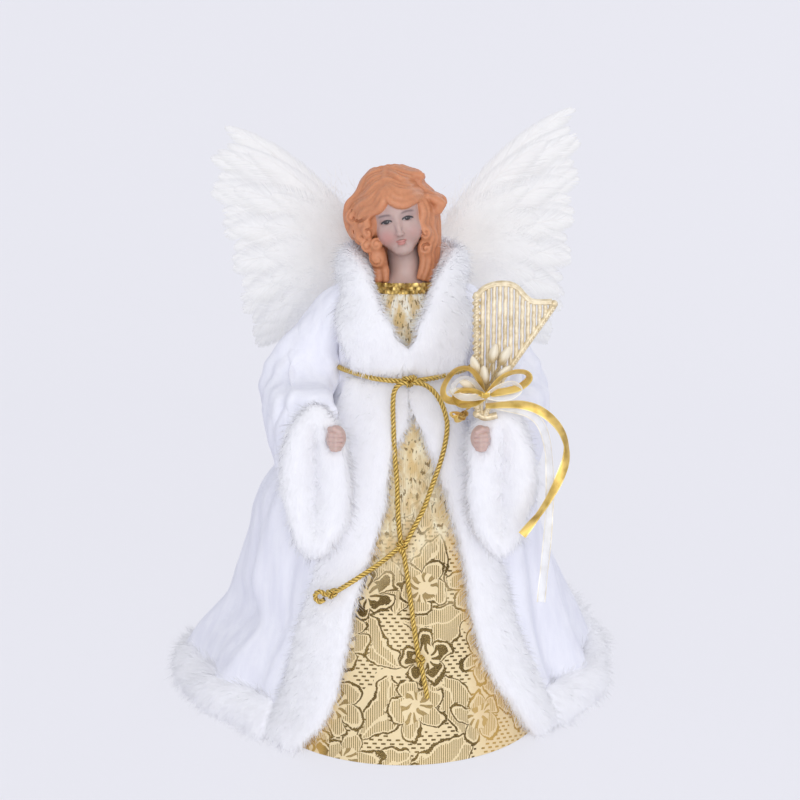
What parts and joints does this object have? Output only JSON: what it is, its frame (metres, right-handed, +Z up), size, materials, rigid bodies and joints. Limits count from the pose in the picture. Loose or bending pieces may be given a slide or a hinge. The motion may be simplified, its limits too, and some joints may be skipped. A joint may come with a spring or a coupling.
{
  "type": "angel tree topper",
  "caption": "Angel tree topper: porcelain bust, fur-edged white velvet robe over a brocade cone, feather wings and a small harp held at one cuff.",
  "frame": {"origin": "centre of the cone's open mouth, on the surface that the cone stands on", "axes": "+Z up along the cone's axis, the angel faces -Y, +X is on the angel's left"},
  "size_m": [0.2519, 0.2109, 0.3194],
  "materials": {
    "card": "matt",
    "brocade": "woven, satin figures",
    "foam": "matt",
    "gold_trim": "metallic braid",
    "porcelain": "bisque, painted",
    "velvet": "velvet pile",
    "fur": "long pile",
    "gold_cord": "metallic twist",
    "wire": "bright",
    "feather": "feather vane",
    "pale_gold": "satin, gilded",
    "buds": "satin",
    "gold_ribbon": "metallic weave",
    "sheer_ribbon": "sheer"
  },
  "bodies": {
    "figure": {"cone_base": "card", "skirt": "brocade", "torso_form": "foam", "bodice": "brocade", "neckline_trim": "gold_trim", "porcelain_bust": "porcelain", "robe_right_front": "velvet", "robe_left_front": "velvet", "robe_back": "velvet", "fur_collar": "fur", "front_fur_right": "fur", "front_fur_left": "fur", "hem_fur": "fur", "wing_pad": "foam", "belt_cord": "gold_cord", "belt_knot": "gold_cord", "cord_left_strand": "gold_cord", "cord_right_strand": "gold_cord", "cord_lower_knot": "gold_cord", "cord_short_end": "gold_cord", "cord_short_knot": "gold_cord", "cord_end_loop": "gold_cord", "cord_long_end": "gold_cord", "cord_long_knot": "gold_cord", "cord_long_tip": "gold_cord"},
    "right_arm": {"right_arm_wire": "wire", "right_sleeve": "velvet", "right_cuff_fur": "fur", "right_hand": "porcelain"},
    "left_arm": {"left_arm_wire": "wire", "left_sleeve": "velvet", "left_cuff_fur": "fur", "left_hand": "porcelain", "harp": "pale_gold", "bud_spray": "buds", "gold_bow": "gold_ribbon", "gold_ribbon_tail": "gold_ribbon", "white_ribbon_tail": "sheer_ribbon"},
    "right_wing": {"right_wing_wire": "wire", "right_wing_feather_1": "feather", "right_wing_feather_2": "feather", "right_wing_feather_3": "feather", "right_wing_feather_4": "feather", "right_wing_feather_5": "feather", "right_wing_feather_6": "feather", "right_wing_feather_7": "feather", "right_wing_coverts": "feather", "right_wing_down": "feather"},
    "left_wing": {"left_wing_wire": "wire", "left_wing_feather_1": "feather", "left_wing_feather_2": "feather", "left_wing_feather_3": "feather", "left_wing_feather_4": "feather", "left_wing_feather_5": "feather", "left_wing_feather_6": "feather", "left_wing_feather_7": "feather", "left_wing_coverts": "feather", "left_wing_down": "feather"}
  },
  "joints": [
    {"name": "right_shoulder", "type": "hinge", "parent": "figure", "child": "right_arm", "pos_m": [-0.027, 0, 0.228], "axis": [-1, 0, 0], "range_deg": [0, 40]},
    {"name": "left_shoulder", "type": "hinge", "parent": "figure", "child": "left_arm", "pos_m": [0.027, 0, 0.228], "axis": [-1, 0, 0], "range_deg": [0, 40]},
    {"name": "right_wing_bend", "type": "hinge", "parent": "figure", "child": "right_wing", "pos_m": [-0.012, 0.0374, 0.236], "axis": [0, 0, -1], "range_deg": [-8, 30]},
    {"name": "left_wing_bend", "type": "hinge", "parent": "figure", "child": "left_wing", "pos_m": [0.012, 0.0374, 0.236], "axis": [0, 0, 1], "range_deg": [-8, 30]}
  ]
}
